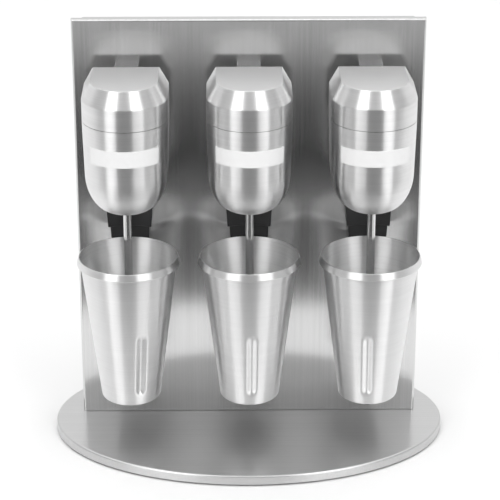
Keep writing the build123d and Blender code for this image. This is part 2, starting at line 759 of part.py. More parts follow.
def make_motor(side, x):
    centre = (x, axis_y)
    bracket_top = upper_bracket_z + bracket_plate
    coil_top = core_z + stator_length + coil_overhang
    with BuildPart() as motor_frame:
        with BuildSketch(Plane.XY.offset(lower_bracket_z)):
            with Locations(centre):
                Circle(bracket_radius)
                with PolarLocations(boss_circle_radius, 3, start_angle=30):
                    Circle(cooling_hole_diameter / 2, mode=Mode.SUBTRACT)
        extrude(amount=bracket_plate)
        with BuildSketch(Plane.XY.offset(upper_bracket_z)):
            with Locations(centre):
                Rectangle(
                    2 * (pillar_radius + pillar_seat) + pillar_diameter,
                    bearing_diameter + 2 * bearing_wall,
                )
        extrude(amount=bracket_plate)
        for z in (lower_bracket_z, upper_bracket_z):
            with BuildSketch(Plane.XY.offset(z)):
                with Locations(centre):
                    Circle(bearing_diameter / 2 + bearing_wall)
            extrude(amount=bearing_width)
            with BuildSketch(Plane.XY.offset(z)):
                with Locations(centre):
                    Circle(bearing_diameter / 2)
            extrude(amount=bearing_width, mode=Mode.SUBTRACT)
        with BuildSketch(Plane.XY.offset(lower_bracket_z)):
            with Locations((x - pillar_radius, axis_y), (x + pillar_radius, axis_y)):
                Circle(pillar_diameter / 2)
        extrude(amount=bracket_top - lower_bracket_z)
    save(motor_frame.part, f"motor_frame_{side}")

    with BuildPart() as motor_stator:
        with BuildSketch(Plane.XY.offset(core_z)):
            with Locations(centre):
                Circle(stator_diameter / 2)
                Rectangle(2 * (pillar_radius + pillar_seat), ear_height)
                Circle(armature_diameter / 2 + air_gap, mode=Mode.SUBTRACT)
            with Locations((x - pillar_radius, axis_y), (x + pillar_radius, axis_y)):
                Circle(pillar_diameter / 2, mode=Mode.SUBTRACT)
        extrude(amount=stator_length)
        for z, grow in ((core_z + stator_length, coil_overhang), (core_z, -coil_overhang)):
            with BuildSketch(Plane.XY.offset(z)):
                with Locations(centre):
                    Circle(stator_diameter / 2 - coil_outer_inset)
                    Circle(armature_diameter / 2 + air_gap + coil_inner_inset, mode=Mode.SUBTRACT)
            extrude(amount=grow)
    save(motor_stator.part, f"motor_stator_{side}")

    with BuildPart() as motor_armature:
        steps = [
            (shaft_low_z, upper_bracket_z + bearing_width + shaft_overhang, shaft_diameter / 2),
            (core_z - coil_overhang, coil_top, armature_diameter / 2 - winding_inset),
            (core_z, core_z + stator_length, armature_diameter / 2),
            (commutator_z, commutator_z + commutator_length, commutator_diameter / 2),
        ]
        for low, high, radius in steps:
            with BuildSketch(Plane.XY.offset(low)):
                with Locations(centre):
                    Circle(radius)
            extrude(amount=high - low)
    save(motor_armature.part, f"motor_armature_{side}")

    fan_z = lower_bracket_z + bearing_width + fan_plate
    with BuildPart() as motor_fan:
        with BuildSketch(Plane.XY.offset(fan_z)):
            with Locations(centre):
                Circle(fan_diameter / 2)
                Circle(shaft_diameter / 2, mode=Mode.SUBTRACT)
        extrude(amount=fan_plate)
        with BuildSketch(Plane.XY.offset(fan_z)):
            with Locations(centre):
                Circle(shaft_diameter / 2 + fan_hub_wall)
                Circle(shaft_diameter / 2, mode=Mode.SUBTRACT)
        extrude(amount=fan_height)
        with BuildSketch(Plane.XY.offset(fan_z)):
            with Locations(centre):
                with PolarLocations(fan_diameter / 4 + fan_blade_shift, fan_blades):
                    Rectangle(fan_blade_length, fan_blade_thickness, rotation=fan_blade_turn)
        extrude(amount=fan_height - fan_plate)
    save(motor_fan.part, f"motor_fan_{side}")

    with BuildPart() as spindle:
        with BuildSketch(Plane.XY.offset(agitator_z)):
            with Locations(centre):
                Circle(spindle_diameter / 2)
        extrude(amount=coupling_z - agitator_z)
        with BuildSketch(Plane.XY.offset(coupling_z)):
            with Locations(centre):
                Circle(coupling_diameter / 2)
        extrude(amount=coupling_height)
        with BuildSketch(Plane.XY.offset(shaft_low_z)):
            with Locations(centre):
                Circle(shaft_diameter / 2)
        extrude(amount=coupling_grip, mode=Mode.SUBTRACT)
        fillet(spindle.faces().sort_by(Axis.Z)[0].edges(), tip_radius)
    save(spindle.part, f"spindle_{side}")

    with BuildPart() as agitator:
        with BuildSketch(Plane.XY.offset(agitator_z)):
            with Locations(centre):
                Circle(agitator_diameter / 2)
                with PolarLocations(agitator_diameter / 2, agitator_lobes):
                    Circle(lobe_radius, mode=Mode.SUBTRACT)
        extrude(amount=agitator_thickness)
        with BuildSketch(Plane.XY.offset(agitator_z)):
            with Locations(centre):
                Circle(spindle_diameter / 2 + agitator_hub_wall)
        extrude(amount=agitator_thickness + agitator_hub_rise)
        with BuildSketch(Plane.XY.offset(agitator_z)):
            with Locations(centre):
                Circle(spindle_diameter / 2)
        extrude(amount=agitator_thickness + agitator_hub_rise, mode=Mode.SUBTRACT)
    save(agitator.part, f"agitator_{side}")


def panel_block(x, low_z, high_z, low_width, high_width, front_y):
    """A block on the panel's face whose width changes evenly with height."""
    with BuildPart() as block:
        with BuildSketch(upright(x, panel_front_y)):
            with BuildLine():
                Polyline(
                    (-low_width / 2, low_z),
                    (low_width / 2, low_z),
                    (high_width / 2, high_z),
                    (-high_width / 2, high_z),
                    close=True,
                )
            make_face()
        extrude(amount=panel_front_y - front_y)
    return block.part


def round_space(x, radius, low_z, high_z, mode=Mode.SUBTRACT):
    """Round column of space on the spindle's axis."""
    with BuildSketch(Plane.XY.offset(low_z)) as disc:
        with Locations((x, axis_y)):
            Circle(radius)
    extrude(disc.sketch, amount=high_z - low_z, mode=mode)


def make_holder(side, x):
    front_y = axis_y + holder_front_share * holder_front_radius
    hollow_top = holder_top_z - holder_cap
    hollow_front = holder_front_radius + holder_wall
    wall_pair = 2 * holder_wall
    hollow_share = 1 - holder_cap / holder_height
    hollow_top_width = holder_low_width + (holder_top_width - holder_low_width) * hollow_share
    with BuildPart() as hollow:
        add(panel_block(
            x, holder_low_z, hollow_top, holder_low_width - wall_pair, hollow_top_width - wall_pair, front_y,
        ))
        round_space(x, hollow_front, holder_low_z, holder_top_z)

    with BuildPart() as cup_holder:
        add(panel_block(x, holder_low_z, holder_top_z, holder_low_width, holder_top_width, front_y))
        round_space(x, holder_front_radius, holder_low_z, holder_top_z)
        top_edges = cup_holder.faces().sort_by(Axis.Z)[-1].edges()
        fillet(top_edges.sort_by(Axis.Y)[:-1], holder_edge_radius)
        add(hollow.part, mode=Mode.SUBTRACT)
        with BuildSketch(upright(x, panel_front_y)):
            with Locations((-holder_screw_x, holder_screw_z), (holder_screw_x, holder_screw_z)):
                Circle(screw_diameter / 2)
        extrude(amount=screw_length - panel_sheet, mode=Mode.SUBTRACT)
    save(cup_holder.part, f"cup_holder_{side}")

    slider_low = bead_low_z - bead_clearance - toe_thickness
    slider_top = hollow_top - slider_travel - slider_clearance
    slider_front = hollow_front + slider_clearance
    with BuildPart() as cup_slider:
        add(panel_block(x, slider_low, holder_low_z, slider_foot_width, slider_width, front_y))
        add(panel_block(x, holder_low_z, slider_top, slider_width, slider_width, front_y))
        round_space(x, slider_front, slider_low, slider_top)
        round_space(x, cup_rim_radius + bead_clearance, bead_low_z - bead_clearance, rim_z + hook_clearance)
        with BuildSketch(upright(x, panel_front_y)):
            with Locations((0, (slider_low + slider_top) / 2)):
                Rectangle(2 * slider_width, slider_top - slider_low)
        extrude(amount=slide_clearance, mode=Mode.SUBTRACT)
        with BuildSketch(upright(x, panel_back_y + finger_length)):
            with Locations((0, finger_low_z + finger_height / 2)):
                Rectangle(finger_width, finger_height)
        extrude(amount=finger_length + panel_sheet + slide_clearance + finger_root)
    save(cup_slider.part, f"cup_slider_{side}")

    switch_low = finger_low_z + finger_height + slider_travel + slide_clearance
    with BuildPart() as microswitch:
        with BuildSketch(upright(x, panel_back_y)):
            with Locations((0, switch_low + switch_height / 2)):
                Rectangle(switch_width, switch_height)
                with GridLocations(switch_width * switch_hole_share, 0, 2, 1):
                    Circle(switch_hole_diameter / 2, mode=Mode.SUBTRACT)
        extrude(amount=-switch_depth)
        with BuildSketch(Plane.XY.offset(switch_low + switch_height)):
            with Locations((x, panel_back_y + switch_depth / 2)):
                with GridLocations(switch_width / tab_count, 0, tab_count, 1):
                    Rectangle(tab_width, tab_depth)
        extrude(amount=tab_length)
    save(microswitch.part, f"microswitch_{side}")

    rest_front = axis_y - rest_reach
    with BuildPart() as cup_rest:
        with BuildSketch(Plane.XY.offset(rest_top_z - rest_sheet)):
            with Locations((x, (rest_front + panel_front_y) / 2)):
                Rectangle(rest_width, panel_front_y - rest_front)
        extrude(amount=rest_sheet)
        fillet(cup_rest.edges().filter_by(Axis.Z).group_by(Axis.Y)[0], (rest_width - rest_tip_flat) / 2)
        with BuildSketch(upright(x, panel_front_y)):
            with Locations((0, rest_top_z - rest_plate_height / 2)):
                Rectangle(rest_width, rest_plate_height)
            with Locations((-rest_screw_x, rest_screw_z), (rest_screw_x, rest_screw_z)):
                Circle(screw_diameter / 2, mode=Mode.SUBTRACT)
        extrude(amount=rest_sheet)
        fillet(cup_rest.edges().filter_by(Axis.Y).group_by(Axis.Z)[0], rest_corner)
    save(cup_rest.part, f"cup_rest_{side}")


def cup_radius(z):
    """The cup's outside radius at a height between its floor and the bead."""
    share = (z - cup_floor_z) / (bead_low_z - cup_floor_z)
    return cup_floor_radius + (cup_mouth_radius - cup_floor_radius) * share


def flute_tool(x, turn, radius):
    """Round-ended rod that presses one flute, lying along the cup's wall."""
    stand_off = (flute_tool_radius - flute_depth) / cos(radians(cup_lean))
    end_reach = sqrt(flute_tool_radius ** 2 - (flute_tool_radius - flute_depth) ** 2)
    ends = []
    for z in (cup_floor_z + flute_low + end_reach, cup_floor_z + flute_low + flute_length - end_reach):
        reach = cup_radius(z) + stand_off
        ends.append(Vector(x + reach * sin(radians(turn)), axis_y - reach * cos(radians(turn)), z))
    along = ends[1] - ends[0]
    with BuildPart(Plane(origin=ends[0], z_dir=along)) as tool:
        Cylinder(radius, along.length, align=(Align.CENTER, Align.CENTER, Align.MIN))
        Sphere(radius)
        with Locations((0, 0, along.length)):
            Sphere(radius)
    return tool.part


def make_cup(side, x):
    turns = [flute_turn[side] + number * 360.0 / flute_count for number in range(flute_count)]
    lip_z = rim_z - lip_roll
    lip_inside = cup_radius(lip_z) - cup_wall
    with BuildPart() as inside:
        with BuildSketch(upright(x)):
            with BuildLine():
                Polyline(
                    (lip_inside + lip_flare, rim_z),
                    (0, rim_z),
                    (0, cup_floor_z + cup_wall),
                    (cup_floor_radius - cup_wall, cup_floor_z + cup_wall),
                    (lip_inside, lip_z),
                )
                SagittaArc((lip_inside, lip_z), (lip_inside + lip_flare, rim_z), -lip_bulge)
            make_face()
        revolve(axis=upright_axis(x))
        floor_edge = inside.edges().filter_by(GeomType.CIRCLE).sort_by(Axis.Z)[0]
        fillet(floor_edge, cup_corner - cup_wall)
        for turn in turns:
            add(flute_tool(x, turn, flute_tool_radius + cup_wall), mode=Mode.SUBTRACT)

    with BuildPart() as cup:
        with BuildSketch(upright(x)):
            with BuildLine():
                Polyline(
                    (lip_inside, rim_z),
                    (0, rim_z),
                    (0, cup_floor_z),
                    (cup_floor_radius, cup_floor_z),
                    (cup_mouth_radius, bead_low_z),
                    (cup_rim_radius - bead_round, bead_low_z),
                )
                SagittaArc(
                    (cup_rim_radius - bead_round, bead_low_z),
                    (cup_rim_radius, bead_low_z + bead_round),
                    -bead_round * bead_arc,
                )
                Line((cup_rim_radius, bead_low_z + bead_round), (cup_rim_radius, rim_z - bead_top_round))
                SagittaArc(
                    (cup_rim_radius, rim_z - bead_top_round),
                    (cup_rim_radius - bead_top_round, rim_z),
                    -bead_top_round * bead_arc,
                )
                Line((cup_rim_radius - bead_top_round, rim_z), (lip_inside, rim_z))
            make_face()
        revolve(axis=upright_axis(x))
        floor_edge = cup.edges().filter_by(GeomType.CIRCLE).sort_by(Axis.Z)[0]
        fillet(floor_edge, cup_corner)
        for turn in turns:
            add(flute_tool(x, turn, flute_tool_radius), mode=Mode.SUBTRACT)
        add(inside.part, mode=Mode.SUBTRACT)
    save(cup.part, f"cup_{side}")


for side, x in heads.items():
    make_head(side, x)
    make_motor(side, x)
    make_holder(side, x)
    make_cup(side, x)
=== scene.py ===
import bmesh
import bpy
from math import asin, atan2, cos, pi, radians, sin, sqrt
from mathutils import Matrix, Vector


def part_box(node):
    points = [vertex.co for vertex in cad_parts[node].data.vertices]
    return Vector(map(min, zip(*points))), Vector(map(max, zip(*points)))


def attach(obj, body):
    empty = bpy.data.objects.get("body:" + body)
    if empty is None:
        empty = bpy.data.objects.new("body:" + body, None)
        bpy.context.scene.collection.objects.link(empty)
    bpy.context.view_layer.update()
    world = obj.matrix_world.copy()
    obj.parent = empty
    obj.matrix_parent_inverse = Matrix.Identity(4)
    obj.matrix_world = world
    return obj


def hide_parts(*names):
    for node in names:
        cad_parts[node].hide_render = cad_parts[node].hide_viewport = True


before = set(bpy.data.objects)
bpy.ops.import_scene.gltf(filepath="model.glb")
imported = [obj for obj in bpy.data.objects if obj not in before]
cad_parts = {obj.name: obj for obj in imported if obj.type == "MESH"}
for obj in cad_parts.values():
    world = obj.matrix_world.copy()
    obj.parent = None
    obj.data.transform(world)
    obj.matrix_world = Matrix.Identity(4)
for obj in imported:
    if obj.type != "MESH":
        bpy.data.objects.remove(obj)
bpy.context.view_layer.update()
mm = 0.001
sides = ["left", "middle", "right"]
mergeGap = 0.00001      # points closer than this are one
flatUp = 0.95           # a face that points up at least this much is level
bendLimit = radians(30)


# camera
cameraView = {
    "place": (-0.0202, -1.9047, 0.9985),
    "pitch": 67.1,          # degrees up from straight down
    "turn": -0.64,
    "lens": 149.9,
    "sensor": 36,
    "nearest": 0.05,
}


def makeCamera(v):
    data = bpy.data.cameras.new("camera")
    data.lens = v["lens"]
    data.sensor_width = v["sensor"]
    data.clip_start = v["nearest"]
    camera = bpy.data.objects.new("camera", data)
    bpy.context.scene.collection.objects.link(camera)
    camera.location = v["place"]
    camera.rotation_euler = (radians(v["pitch"]), 0, radians(v["turn"]))
    bpy.context.scene.camera = camera


# shader helpers
class Signal:
    # one output socket of a node tree, which adds, scales and compares like a number
    def __init__(self, tree, socket):
        self.tree = tree
        self.socket = socket

    def maths(self, kind, first, second=0.0, third=0.0):
        return addNode(self.tree, "ShaderNodeMath", {"operation": kind}, {0: first, 1: second, 2: third})

    def __add__(self, other):
        return self.maths("ADD", self, other)

    __radd__ = __add__

    def __mul__(self, other):
        return self.maths("MULTIPLY", self, other)

    __rmul__ = __mul__

    def __sub__(self, other):
        return self.maths("SUBTRACT", self, other)

    def __rsub__(self, other):
        return self.maths("SUBTRACT", other, self)

    def __truediv__(self, other):
        return self.maths("DIVIDE", self, other)

    def __pow__(self, other):
        return self.maths("POWER", self, other)


def addNode(tree, kind, settings=None, values=None, output=0):
    node = tree.nodes.new(kind)
    for name, value in (settings or {}).items():
        if name == "stops":
            ramp = node.color_ramp
            while len(ramp.elements) < len(value):
                ramp.elements.new(0.5)
            for element, (place, shade) in zip(ramp.elements, value):
                element.position = place
                element.color = (shade, shade, shade, 1) if isinstance(shade, (int, float)) else shade
        else:
            setattr(node, name, value)
    for name, value in (values or {}).items():
        if isinstance(value, Signal):
            tree.links.new(value.socket, node.inputs[name])
        else:
            node.inputs[name].default_value = value
    return Signal(tree, node.outputs[output])


def smoothStep(signal, low, high):
    return addNode(
        signal.tree, "ShaderNodeMapRange", {"interpolation_type": "SMOOTHSTEP"},
        {"Value": signal, "From Min": low, "From Max": high, "To Min": 0.0, "To Max": 1.0},
    )


def emptyTree(owner):
    owner.use_nodes = True
    owner.node_tree.nodes.clear()
    return owner.node_tree


# stage
stageLook = {
    "floorShade": 0.82,
    "tableEdge": -0.28,      # the white table ends here in front of the machine
    "worldCentre": 0.26,     # straight ahead of the machine
    "worldStrip": 1.1,      # the two soft boxes
    "worldSide": 0.46,
    "worldBack": 0.85,
    "worldHigh": 1.15,       # well above the machine, all round
    "stripHigh": 2.7,        # the soft boxes' upper ends
    "stripRiseFrom": 0.08,
    "stripRiseTo": 0.42,
    "highFrom": 0.55,        # how steeply upwards that begins, as the direction's rise
    "highTo": 0.85,
    "stripFrom": 22.0,       # degrees either side of straight ahead
    "stripTo": 53.0,
    "stripSoft": 3.0,
    "backFrom": 85.0,
    "backTo": 115.0,
    "darkHalfWidth": 0.34,
    "fanOut": 2.1,
    "fadeLength": 1.8,
    # how light the floor in front looks, by its distance as a share of fadeLength
    "fade": [
        (0.155, 0.5), (0.18, 0.2), (0.21, 0.145), (0.26, 0.1), (0.318, 0.07), (0.333, 0.4),
        (0.348, 0.12), (0.378, 0.14), (0.395, 0.035), (0.45, 0.03), (0.54, 0.06), (0.61, 0.1),
        (0.64, 0.16), (0.67, 0.24), (0.76, 0.52), (1.0, 0.62),
    ],
    "topLight": 7.5,
    "topSize": 1.4,
    "topPlace": (0, -0.2, 1.7),
    "floorReach": (3, 4),    # how far the floor goes to each side, and to the front and back
    "paperScale": 40.0,
    "paperRough": 0.75,
    "cardLift": 0.001,
}


def makeWorld(v):
    world = bpy.data.worlds.new("studio")
    bpy.context.scene.world = world
    tree = emptyTree(world)
    way = addNode(tree, "ShaderNodeTexCoord")
    parts = tree.nodes.new("ShaderNodeSeparateXYZ")
    tree.links.new(way.socket, parts.inputs[0])
    x, y, z = (Signal(tree, parts.outputs[i]) for i in range(3))
    turn = x.maths("ABSOLUTE", x.maths("ARCTAN2", x, y * -1.0))
    soft = v["stripSoft"]
    stripIn = smoothStep(turn, radians(v["stripFrom"] - soft), radians(v["stripFrom"] + soft))
    stripOut = smoothStep(turn, radians(v["stripTo"] - soft), radians(v["stripTo"] + soft))
    back = smoothStep(turn, radians(v["backFrom"]), radians(v["backTo"]))
    high = smoothStep(z, v["highFrom"], v["highTo"])
    strip = stripIn - stripOut
    centre = 1.0 - stripIn
    side = stripOut - back
    rise = smoothStep(z, v["stripRiseFrom"], v["stripRiseTo"])
    stripLevel = v["worldStrip"] + rise * (v["stripHigh"] - v["worldStrip"])
    level = centre * v["worldCentre"] + strip * stripLevel
    level = level + side * v["worldSide"] + back * v["worldBack"]
    highLevel = v["worldHigh"] + strip * (v["stripHigh"] - v["worldHigh"])
    level = level + high * (highLevel - level)
    light = addNode(tree, "ShaderNodeBackground", values={"Color": (1, 1, 1, 1), "Strength": level})
    out = tree.nodes.new("ShaderNodeOutputWorld")
    tree.links.new(light.socket, out.inputs["Surface"])


def flatCard(name, low, high, height, material):
    bm = bmesh.new()
    bmesh.ops.create_grid(bm, x_segments=1, y_segments=1, size=0.5)
    bmesh.ops.scale(bm, vec=(high[0] - low[0], high[1] - low[1], 1), verts=bm.verts)
    middle = ((low[0] + high[0]) / 2, (low[1] + high[1]) / 2, height)
    bmesh.ops.translate(bm, vec=middle, verts=bm.verts)
    mesh = bpy.data.meshes.new(name)
    bm.to_mesh(mesh)
    bm.free()
    mesh.materials.append(material)
    card = bpy.data.objects.new(name, mesh)
    bpy.context.scene.collection.objects.link(card)
    return card


def makeStage(v):
    paper = bpy.data.materials.new("floorPaper")
    tree = emptyTree(paper)
    spots = addNode(tree, "ShaderNodeTexNoise", values={"Scale": v["paperScale"], "Detail": 4.0})
    rough = spots * 0.1 + v["paperRough"]
    surface = addNode(tree, "ShaderNodeBsdfPrincipled", values={
        "Base Color": (v["floorShade"],) * 3 + (1,), "Roughness": rough,
        "Specular IOR Level": 0.0,
    })
    out = tree.nodes.new("ShaderNodeOutputMaterial")
    tree.links.new(surface.socket, out.inputs["Surface"])
    wide, deep = v["floorReach"]
    flatCard("floorNear", (-wide, v["tableEdge"]), (wide, deep), 0, paper)
    floorFar = flatCard("floorFar", (-wide, -deep), (wide, v["tableEdge"]), 0, paper)
    floorFar.visible_glossy = False

    dark = bpy.data.materials.new("darkFloorFade")
    tree = emptyTree(dark)
    spot = addNode(tree, "ShaderNodeTexCoord", output=3)
    parts = tree.nodes.new("ShaderNodeSeparateXYZ")
    tree.links.new(spot.socket, parts.inputs[0])
    depth = Signal(tree, parts.outputs[1]) * -1.0 / v["fadeLength"]
    shade = addNode(tree, "ShaderNodeValToRGB", {"stops": v["fade"]}, {"Fac": depth})
    glow = addNode(tree, "ShaderNodeEmission", values={"Color": shade, "Strength": 1.0})
    out = tree.nodes.new("ShaderNodeOutputMaterial")
    tree.links.new(glow.socket, out.inputs["Surface"])
    halfWidth = v["darkHalfWidth"]
    near, far = (halfWidth, v["tableEdge"]), (-halfWidth, -v["fadeLength"])
    card = flatCard("darkFloor", far, near, v["cardLift"], dark)
    for vert in card.data.vertices:
        if vert.co.y < v["tableEdge"] - mergeGap:
            vert.co.x *= v["fanOut"]
    card.visible_camera = False
    card.visible_diffuse = False
    card.visible_shadow = False
    card.visible_transmission = False

    lamp = bpy.data.lights.new("topSoftbox", "AREA")
    lamp.energy = v["topLight"]
    lamp.size = v["topSize"]
    top = bpy.data.objects.new("topSoftbox", lamp)
    bpy.context.scene.collection.objects.link(top)
    top.location = v["topPlace"]
    top.visible_glossy = False
    bpy.context.scene.view_settings.view_transform = "Standard"


# finishes
finishDetail = {
    "smearScale": 18.0, "steelBump": 0.0002, "cloudScale": 30.0, "cloudRough": 0.15, "grainRough": 0.1,
    "plasticBump": 0.0001,
}


def steelFinish(name, v):
    material = bpy.data.materials.new(name)
    tree = emptyTree(material)
    spot = addNode(tree, "ShaderNodeTexCoord", output=3)
    fine = addNode(tree, "ShaderNodeVectorMath", {"operation": "MULTIPLY"}, {0: spot, 1: v["fineScale"]})
    wide = addNode(tree, "ShaderNodeVectorMath", {"operation": "MULTIPLY"}, {0: spot, 1: v["wideScale"]})
    grain = addNode(tree, "ShaderNodeTexNoise", values={"Vector": fine, "Scale": 1.0, "Detail": 2.0})
    bands = addNode(tree, "ShaderNodeTexNoise", values={"Vector": wide, "Scale": 1.0, "Detail": 3.0})
    smears = addNode(tree, "ShaderNodeTexNoise", values={
        "Vector": spot, "Scale": finishDetail["smearScale"], "Detail": 4.0,
    })
    tone = v["tone"] + (grain - 0.5) * v["grainTone"] + (bands - 0.5) * v["bandTone"]
    colour = addNode(tree, "ShaderNodeCombineColor", values={0: tone, 1: tone, 2: tone * v["blueShare"]})
    rough = v["rough"] + (grain - 0.5) * v["grainRough"] + (smears - 0.5) * v["smearRough"]
    bump = addNode(tree, "ShaderNodeBump", values={
        "Height": grain + bands * 0.5, "Strength": v["bump"], "Distance": finishDetail["steelBump"],
    })
    surface = addNode(tree, "ShaderNodeBsdfPrincipled", values={
        "Base Color": colour, "Metallic": 1.0, "Roughness": rough, "Normal": bump,
        "Anisotropic": v["brushed"], "Anisotropic Rotation": v["turned"],
    })
    out = tree.nodes.new("ShaderNodeOutputMaterial")
    tree.links.new(surface.socket, out.inputs["Surface"])
    return material


def plasticFinish(name, v):
    material = bpy.data.materials.new(name)
    tree = emptyTree(material)
    spot = addNode(tree, "ShaderNodeTexCoord", output=3)
    grain = addNode(tree, "ShaderNodeTexNoise", values={
        "Vector": spot, "Scale": v["grainScale"], "Detail": 3.0,
    })
    cloud = addNode(tree, "ShaderNodeTexNoise", values={
        "Vector": spot, "Scale": finishDetail["cloudScale"], "Detail": 3.0,
    })
    shade = 1.0 + (cloud - 0.5) * v["cloud"]
    shades = {i: shade * v["colour"][i] for i in range(3)}
    colour = addNode(tree, "ShaderNodeCombineColor", values=shades)
    rough = v["rough"] + (cloud - 0.5) * finishDetail["cloudRough"]
    rough = rough + (grain - 0.5) * finishDetail["grainRough"]
    bump = addNode(tree, "ShaderNodeBump", values={
        "Height": grain, "Strength": v["bump"], "Distance": finishDetail["plasticBump"],
    })
    surface = addNode(tree, "ShaderNodeBsdfPrincipled", values={
        "Base Color": colour, "Roughness": rough, "Normal": bump, "Metallic": v.get("metal", 0.0),
    })
    out = tree.nodes.new("ShaderNodeOutputMaterial")
    tree.links.new(surface.socket, out.inputs["Surface"])
    return material


steelLooks = {
    "turnedSteel": {
        "tone": 0.82, "grainTone": 0.14, "bandTone": 0.1, "blueShare": 1.0, "rough": 0.31,
        "grainRough": 0.06, "smearRough": 0.05, "bump": 0.05, "brushed": 1.0, "turned": 0.25,
        "fineScale": (12, 12, 2600), "wideScale": (5, 5, 260),
    },
    "cupSteel": {
        "tone": 0.86, "grainTone": 0.1, "bandTone": 0.06, "blueShare": 1.0, "rough": 0.36,
        "grainRough": 0.05, "smearRough": 0.05, "bump": 0.05, "brushed": 1.0, "turned": 0.25,
        "fineScale": (12, 12, 2400), "wideScale": (5, 5, 300),
    },
    # cup inside: painted light, a lighter copy of the cup steel that brightens the inside walls and floor
    "cupInsidePaintedLightSteel": {
        "tone": 1.0, "grainTone": 0.22, "bandTone": 0.2, "blueShare": 1.0, "rough": 0.44,
        "grainRough": 0.08, "smearRough": 0.05, "bump": 0.05, "brushed": 1.0, "turned": 0.25,
        "fineScale": (12, 12, 1500), "wideScale": (5, 5, 420),
    },
    "panelSteel": {
        "tone": 0.7, "grainTone": 0.16, "bandTone": 0.1, "blueShare": 1.0, "rough": 0.2,
        "grainRough": 0.06, "smearRough": 0.04, "bump": 0.05, "brushed": 0.8, "turned": 0.0,
        "fineScale": (1700, 1700, 10), "wideScale": (260, 260, 3),
    },
    "baseSteel": {
        "tone": 0.66, "grainTone": 0.1, "bandTone": 0.06, "blueShare": 1.0, "rough": 0.32,
        "grainRough": 0.06, "smearRough": 0.04, "bump": 0.05, "brushed": 0.95, "turned": 0.25,
        "fineScale": (10, 1700, 400), "wideScale": (3, 260, 100),
    },
    "capTopSteel": {
        "tone": 0.93, "grainTone": 0.04, "bandTone": 0.03, "blueShare": 1.0, "rough": 0.42,
        "grainRough": 0.06, "smearRough": 0.05, "bump": 0.05, "brushed": 0.0, "turned": 0.0,
        "fineScale": (30, 1500, 30), "wideScale": (5, 200, 5),
    },
    "neckSteel": {
        "tone": 0.72, "grainTone": 0.05, "bandTone": 0.03, "blueShare": 1.0, "rough": 0.22,
        "grainRough": 0.06, "smearRough": 0.05, "bump": 0.1, "brushed": 0.0, "turned": 0.0,
        "fineScale": (1500, 20, 20), "wideScale": (200, 10, 10),
    },
    "polishedSteel": {
        "tone": 0.7, "grainTone": 0.02, "bandTone": 0.02, "blueShare": 1.0, "rough": 0.13,
        "grainRough": 0.04, "smearRough": 0.03, "bump": 0.05, "brushed": 0.3, "turned": 0.25,
        "fineScale": (20, 20, 2500), "wideScale": (5, 5, 200),
    },
    "zincPlate": {
        "tone": 0.6, "grainTone": 0.05, "bandTone": 0.05, "blueShare": 1.03, "rough": 0.38,
        "grainRough": 0.1, "smearRough": 0.1, "bump": 0.2, "brushed": 0.0, "turned": 0.0,
        "fineScale": (900, 900, 900), "wideScale": (120, 120, 120),
    },
}
plasticLooks = {
    "blackPlastic": {
        "colour": (0.022, 0.022, 0.023), "rough": 0.42, "grainScale": 2600.0, "bump": 0.35,
        "cloud": 0.2,
    },
    "rockerPlastic": {
        "colour": (0.3, 0.015, 0.012), "rough": 0.3, "grainScale": 900.0, "bump": 0.08,
        "cloud": 0.1,
    },
    "footRubber": {
        "colour": (0.02, 0.02, 0.02), "rough": 0.75, "grainScale": 1500.0, "bump": 0.5,
        "cloud": 0.3,
    },
    "labelWhite": {
        "colour": (0.8, 0.8, 0.8), "rough": 0.4, "grainScale": 1200.0, "bump": 0.06,
        "cloud": 0.03,
    },
    "terminalPlastic": {
        "colour": (0.75, 0.73, 0.66), "rough": 0.5, "grainScale": 800.0, "bump": 0.2,
        "cloud": 0.1,
    },
    "wireSleeve": {
        "colour": (0.03, 0.03, 0.035), "rough": 0.55, "grainScale": 1400.0, "bump": 0.3,
        "cloud": 0.2,
    },
    "bronze": {
        "colour": (0.62, 0.4, 0.19), "rough": 0.38, "grainScale": 1500.0, "bump": 0.4,
        "cloud": 0.2, "metal": 1.0,
    },
    "brushCarbon": {
        "colour": (0.04, 0.04, 0.04), "rough": 0.6, "grainScale": 1500.0, "bump": 0.3,
        "cloud": 0.3,
    },
}


# mesh helpers
def drawWire(bm, points):
    verts = [bm.verts.new(p) for p in points]
    for first, second in zip(verts, verts[1:]):
        bm.edges.new((first, second))
    return verts


def roundCorner(bm, vert, cut, steps=4):
    bmesh.ops.bevel(
        bm, geom=[vert], offset=cut, offset_type="OFFSET", segments=steps, profile=0.5, affect="VERTICES",
        material=-1,
    )


def roundEdges(bm, edges, size, steps=3):
    bmesh.ops.bevel(
        bm, geom=edges, offset=size, offset_type="OFFSET", segments=steps, profile=0.5, affect="EDGES",
        material=-1, clamp_overlap=True,
    )


def newVerts(found):
    return [item for item in found if isinstance(item, bmesh.types.BMVert)]


def spinWhole(bm, centre, steps):
    bmesh.ops.spin(
        bm, geom=bm.verts[:] + bm.edges[:], cent=centre, axis=(0, 0, 1), angle=2 * pi, steps=steps,
        use_merge=True,
    )
    bmesh.ops.remove_doubles(bm, verts=bm.verts, dist=mergeGap)
    bmesh.ops.dissolve_degenerate(bm, edges=bm.edges, dist=mergeGap)


def makeObject(bm, name, material, sharp):
    bmesh.ops.remove_doubles(bm, verts=bm.verts, dist=mergeGap)
    bmesh.ops.recalc_face_normals(bm, faces=bm.faces)
    for face in bm.faces:
        face.smooth = True
    mesh = bpy.data.meshes.new(name)
    bm.to_mesh(mesh)
    bm.free()
    mesh.set_sharp_from_angle(angle=radians(sharp))
    mesh.materials.append(material)
    piece = bpy.data.objects.new(name, mesh)
    bpy.context.scene.collection.objects.link(piece)
    return piece


def applyModifiers(piece):
    graph = bpy.context.evaluated_depsgraph_get()
    mesh = bpy.data.meshes.new_from_object(piece.evaluated_get(graph))
    piece.modifiers.clear()
    old = piece.data
    piece.data = mesh
    bpy.data.meshes.remove(old)


